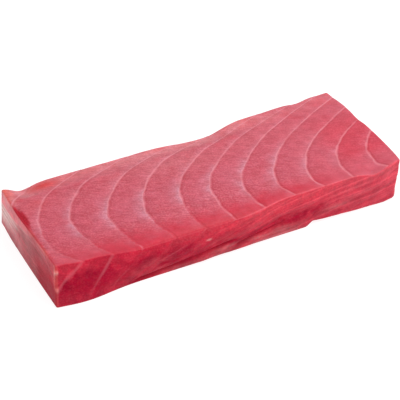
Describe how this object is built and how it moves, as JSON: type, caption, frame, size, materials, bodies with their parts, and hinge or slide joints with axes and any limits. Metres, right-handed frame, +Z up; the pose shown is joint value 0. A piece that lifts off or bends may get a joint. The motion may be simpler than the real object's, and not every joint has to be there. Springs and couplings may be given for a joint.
{
  "type": "tuna saku block",
  "caption": "Raw tuna saku: a sawn rectangular block of red flesh with pale curved muscle seams, a soft front shoulder, a creased front face and a raised back corner.",
  "frame": {"origin": "centre of the block's bounding box at the base, on the surface that it rests on", "axes": "+X along the length from the raised left end to the square right end, +Y from the creased front face to the back, +Z up through the thickness"},
  "size_m": [0.2054, 0.0826, 0.0262],
  "materials": {
    "tuna_flesh": "moist raw tuna flesh, rose red with thin pale pink curved seams, darker red on the front face, soft wet sheen"
  },
  "bodies": {
    "root": {"tuna_block": "tuna_flesh"}
  },
  "joints": []
}
